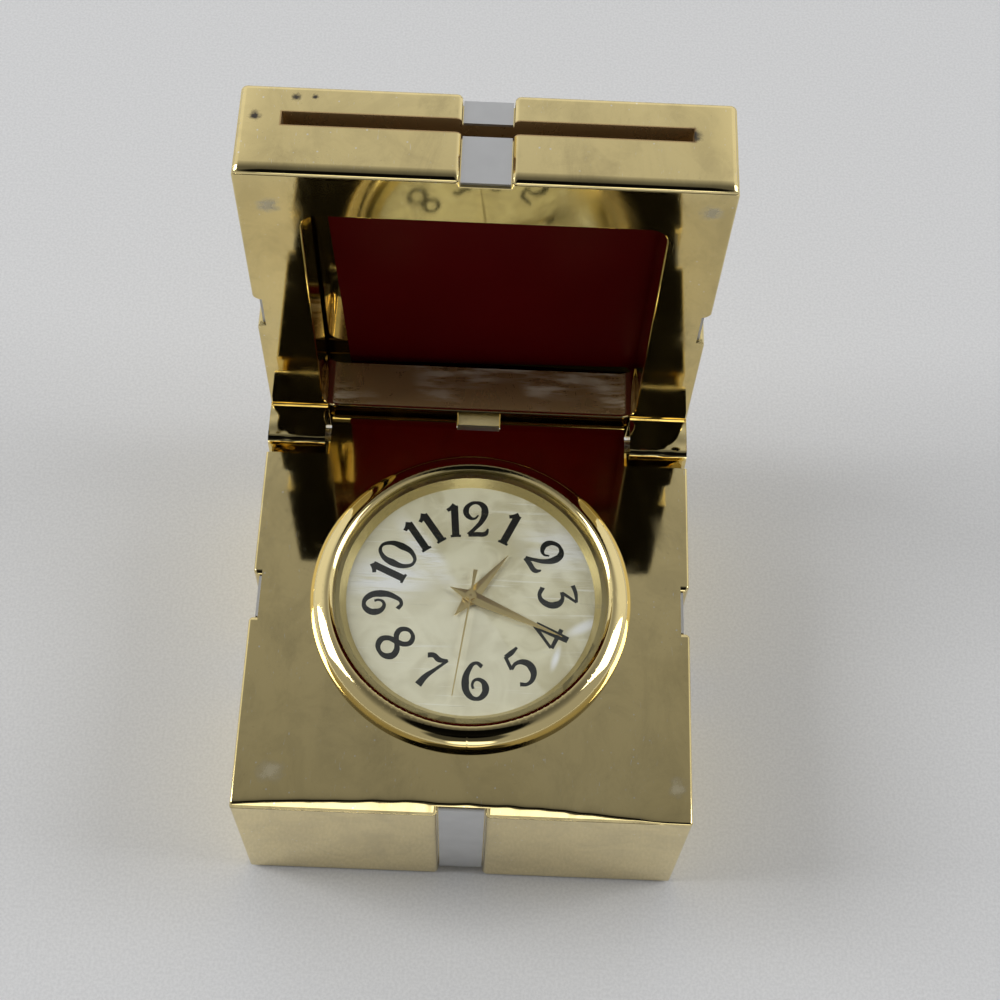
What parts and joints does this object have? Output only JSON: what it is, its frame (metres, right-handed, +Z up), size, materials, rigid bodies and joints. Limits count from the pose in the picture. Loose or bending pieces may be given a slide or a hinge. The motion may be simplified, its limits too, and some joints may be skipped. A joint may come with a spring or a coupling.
{
  "type": "pendulette clock",
  "caption": "Small gilt metal box clock shaped as a ribboned gift box, with a hinged lid that holds a picture card.",
  "frame": {"origin": "centre of the felt underside", "axes": "+Z up, -Y to the front, +X to the right seen from the front"},
  "size_m": [0.05, 0.0613, 0.0684],
  "materials": {
    "gold_plate": "polished",
    "silver_plate": "satin",
    "card": "matte",
    "glass": "polished",
    "mother_of_pearl": "pearly",
    "felt": "matte",
    "steel": "fine",
    "brass": "machined",
    "rubber": "matte",
    "black_plastic": "moulded",
    "white_plastic": "moulded",
    "copper": "wound wire",
    "circuit": "lacquered"
  },
  "bodies": {
    "base": {"base_casting": "gold_plate", "base_ribbon_front": "silver_plate", "base_ribbon_left": "silver_plate", "base_ribbon_right": "silver_plate", "base_ribbon_rear": "silver_plate", "hinge_pin_left": "steel", "hinge_pin_right": "steel", "bottom_plate": "steel", "felt_pad": "felt", "bezel": "gold_plate", "lens": "glass", "dial_ring": "gold_plate", "dial": "mother_of_pearl", "case_cup": "steel", "case_back": "steel", "gasket": "rubber", "movement_holder": "white_plastic", "main_plate": "black_plastic", "train_bridge": "black_plastic", "battery": "steel", "battery_clip": "steel", "coil": "copper", "coil_core": "steel", "stator": "steel", "circuit_board": "circuit", "quartz_crystal": "steel"},
    "lid": {"lid_casting": "gold_plate", "lid_ribbon_across": "silver_plate", "lid_ribbon_front": "silver_plate", "lid_ribbon_rear": "silver_plate", "lid_ribbon_slot_end": "silver_plate"},
    "card": {"picture_card": "card"},
    "second": {"second_wheel": "brass", "second_hand": "gold_plate"},
    "minute": {"center_wheel": "brass", "cannon_pinion": "brass", "minute_hand": "gold_plate"},
    "hour": {"hour_wheel": "brass", "hour_hand": "gold_plate"},
    "motion": {"minute_wheel": "white_plastic"},
    "third": {"third_wheel": "white_plastic"},
    "fifth": {"fifth_wheel": "white_plastic"},
    "rotor_body": {"rotor": "black_plastic"},
    "setting_stem": {"stem": "steel"},
    "setting_crown": {"crown": "black_plastic"}
  },
  "joints": [
    {"name": "lid_hinge", "type": "hinge", "parent": "base", "child": "lid", "pos_m": [0, 0.0225, 0.0209], "axis": [1, 0, 0], "range_deg": [0, 90]},
    {"name": "card_slide", "type": "slide", "parent": "lid", "child": "card", "axis": [0, 0, 1], "range_m": [0, 0.038]},
    {"name": "second_turn", "type": "hinge", "parent": "base", "child": "second", "pos_m": [0, 0.00035, 0.0234], "axis": [0, 0, -1], "continuous": true},
    {"name": "minute_turn", "type": "hinge", "parent": "base", "child": "minute", "pos_m": [0, 0.00035, 0.0234], "axis": [0, 0, -1], "continuous": true},
    {"name": "hour_turn", "type": "hinge", "parent": "base", "child": "hour", "pos_m": [0, 0.00035, 0.0234], "axis": [0, 0, -1], "continuous": true},
    {"name": "minute_wheel_turn", "type": "hinge", "parent": "base", "child": "motion", "pos_m": [-0.00184, -0.00149, 0.0234], "axis": [0, 0, -1], "continuous": true},
    {"name": "third_turn", "type": "hinge", "parent": "base", "child": "third", "pos_m": [-0.00312, 0.00215, 0.0234], "axis": [0, 0, -1], "continuous": true},
    {"name": "fifth_turn", "type": "hinge", "parent": "base", "child": "fifth", "pos_m": [0.0035, -0.00092, 0.0234], "axis": [0, 0, -1], "continuous": true},
    {"name": "rotor_turn", "type": "hinge", "parent": "base", "child": "rotor_body", "pos_m": [0.00393, -0.0034, 0.0234], "axis": [0, 0, -1], "continuous": true},
    {"name": "stem_pull", "type": "slide", "parent": "base", "child": "setting_stem", "axis": [1, 0, 0], "range_m": [0, 0.0008]},
    {"name": "crown_turn", "type": "hinge", "parent": "setting_stem", "child": "setting_crown", "pos_m": [0.012, 0.00035, 0.021], "axis": [1, 0, 0], "continuous": true}
  ],
  "couplings": [
    {"joint": "minute_turn", "follows": "second_turn", "ratio": 0.016667},
    {"joint": "hour_turn", "follows": "second_turn", "ratio": 0.0013889},
    {"joint": "minute_wheel_turn", "follows": "second_turn", "ratio": -0.0055556},
    {"joint": "third_turn", "follows": "second_turn", "ratio": -0.13333},
    {"joint": "fifth_turn", "follows": "second_turn", "ratio": -5},
    {"joint": "rotor_turn", "follows": "second_turn", "ratio": 30}
  ]
}
